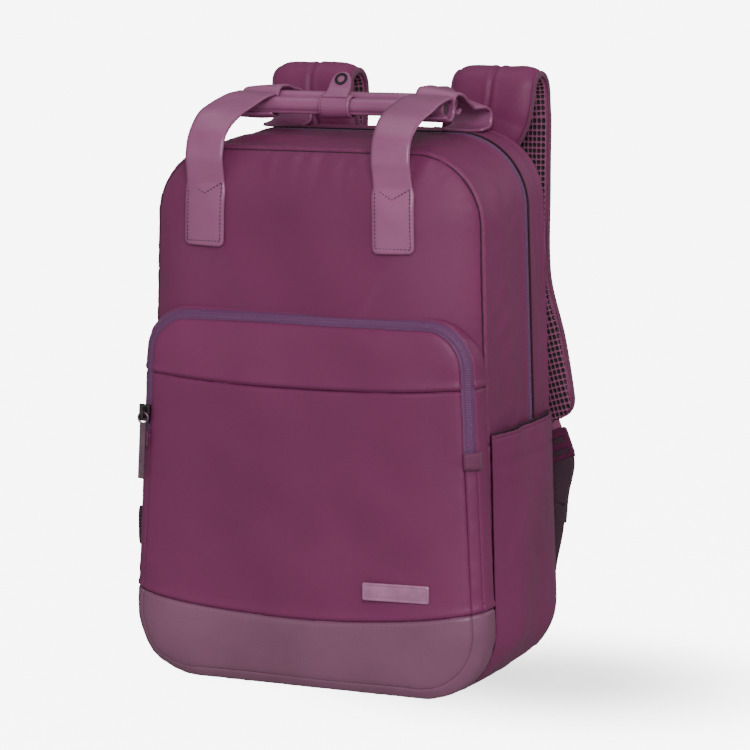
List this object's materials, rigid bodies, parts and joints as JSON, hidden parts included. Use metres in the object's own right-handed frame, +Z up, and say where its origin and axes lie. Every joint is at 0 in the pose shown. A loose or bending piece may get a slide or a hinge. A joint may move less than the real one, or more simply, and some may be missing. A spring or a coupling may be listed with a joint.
{
  "type": "travel backpack",
  "caption": "Padded laptop backpack with an arched main zipper, zipped front pocket, side pockets, rolled carry grips and two shoulder straps.",
  "frame": {"origin": "centre of the flat bottom panel that the bag rests on", "axes": "+Z up through the handles, front pocket towards -Y, shoulder straps towards +Y, +X to the right seen from the front"},
  "size_m": [0.3002, 0.2331, 0.4725],
  "materials": {
    "nylon": "satin plain-woven nylon",
    "leather": "smooth fine-grained coated leather",
    "zip_tape": "woven tape over a nylon coil",
    "gunmetal": "dark satin plating",
    "tag_enamel": "pearl plate with a bevelled rim",
    "air_mesh": "knitted spacer mesh",
    "dark_webbing": "ribbed polyester webbing",
    "plum_webbing": "ribbed polyester webbing",
    "buckle_plastic": "moulded acetal",
    "lining": "plain polyester lining",
    "board": "polyethylene board",
    "cord_core": "foam cord"
  },
  "bodies": {
    "bag": {"back_pad_left": "air_mesh", "back_pad_right": "air_mesh", "back_panel": "nylon", "base_board": "board", "base_trim": "leather", "bottom_gusset": "nylon", "bottom_panel": "nylon", "front_gusset": "nylon", "front_handle_tab_left": "leather", "front_handle_tab_right": "leather", "front_panel": "nylon", "laptop_divider": "lining", "main_zipper": "zip_tape", "organizer_pocket": "lining", "pocket_face": "nylon", "pocket_gusset": "nylon", "pocket_top_panel": "nylon", "pocket_zip_stop": "nylon", "pocket_zipper": "zip_tape", "rear_gusset": "nylon", "rear_handle_tab_left": "leather", "rear_handle_tab_right": "leather", "side_pocket_gusset_left": "nylon", "side_pocket_gusset_right": "nylon", "side_pocket_left": "nylon", "side_pocket_right": "nylon", "side_tab": "plum_webbing", "side_wall_left": "nylon", "side_wall_right": "nylon", "strap_root_left": "nylon", "strap_root_right": "nylon", "strap_yoke": "nylon", "tag": "tag_enamel", "webbing_anchor_left": "plum_webbing", "webbing_anchor_right": "plum_webbing", "webbing_left": "dark_webbing", "webbing_right": "dark_webbing"},
    "main_slider": {"main_slider": "gunmetal"},
    "main_pull": {"main_pull": "gunmetal"},
    "pocket_slider": {"pocket_slider": "gunmetal"},
    "pocket_pull": {"pocket_pull": "gunmetal"},
    "front_handle": {"front_handle_strap_left": "leather", "front_handle_strap_right": "leather", "front_grip": "leather", "front_grip_core": "cord_core", "handle_wrap": "leather"},
    "wrap_flap": {"wrap_flap": "leather", "snap_eyelet": "gunmetal"},
    "rear_handle": {"rear_handle_strap_left": "leather", "rear_handle_strap_right": "leather", "rear_grip": "leather", "rear_grip_core": "cord_core"},
    "left_strap": {"strap_pad_left": "nylon", "strap_mesh_left": "air_mesh", "strap_loop_left": "plum_webbing"},
    "left_buckle": {"buckle_left": "buckle_plastic"},
    "right_strap": {"strap_pad_right": "nylon", "strap_mesh_right": "air_mesh", "strap_loop_right": "plum_webbing"},
    "right_buckle": {"buckle_right": "buckle_plastic"}
  },
  "joints": [
    {"name": "main_slider_travel", "type": "slide", "parent": "bag", "child": "main_slider", "axis": [0.0342, 0, 0.9994], "range_m": [0, 0.085]},
    {"name": "main_pull_swing", "type": "hinge", "parent": "main_slider", "child": "main_pull", "pos_m": [-0.13654, 0.015, 0.26263], "axis": [0, 1, 0], "range_deg": [0, 100]},
    {"name": "pocket_slider_travel", "type": "slide", "parent": "bag", "child": "pocket_slider", "axis": [0.052, 0, 0.9986], "range_m": [0, 0.04]},
    {"name": "pocket_pull_swing", "type": "hinge", "parent": "pocket_slider", "child": "pocket_pull", "pos_m": [-0.13324, -0.1068, 0.2125], "axis": [-1, 0, 0], "range_deg": [0, 100]},
    {"name": "front_handle_swing", "type": "hinge", "parent": "bag", "child": "front_handle", "pos_m": [-0.008, -0.0945, 0.393], "axis": [1, 0, 0], "range_deg": [0, 95]},
    {"name": "wrap_flap_fold", "type": "hinge", "parent": "front_handle", "child": "wrap_flap", "pos_m": [-0.012, -0.0125, 0.454], "axis": [-1, 0, 0], "range_deg": [0, 45]},
    {"name": "rear_handle_swing", "type": "hinge", "parent": "bag", "child": "rear_handle", "pos_m": [-0.008, 0.058, 0.4275], "axis": [-1, 0, 0], "range_deg": [0, 55]},
    {"name": "left_strap_swing", "type": "hinge", "parent": "bag", "child": "left_strap", "pos_m": [-0.078, 0.096, 0.4725], "axis": [1, 0, 0], "range_deg": [0, 10], "deforming": ["webbing_left"]},
    {"name": "left_buckle_tilt", "type": "hinge", "parent": "left_strap", "child": "left_buckle", "pos_m": [-0.1167, 0.10312, 0.18343], "axis": [0.9273, -0.0199, -0.3738], "range_deg": [-20, 20], "deforming": ["webbing_left"]},
    {"name": "right_strap_swing", "type": "hinge", "parent": "bag", "child": "right_strap", "pos_m": [0.078, 0.096, 0.4725], "axis": [1, 0, 0], "range_deg": [0, 10], "deforming": ["webbing_right"]},
    {"name": "right_buckle_tilt", "type": "hinge", "parent": "right_strap", "child": "right_buckle", "pos_m": [0.1167, 0.10312, 0.18343], "axis": [0.9273, 0.0199, 0.3738], "range_deg": [-20, 20], "deforming": ["webbing_right"]}
  ]
}
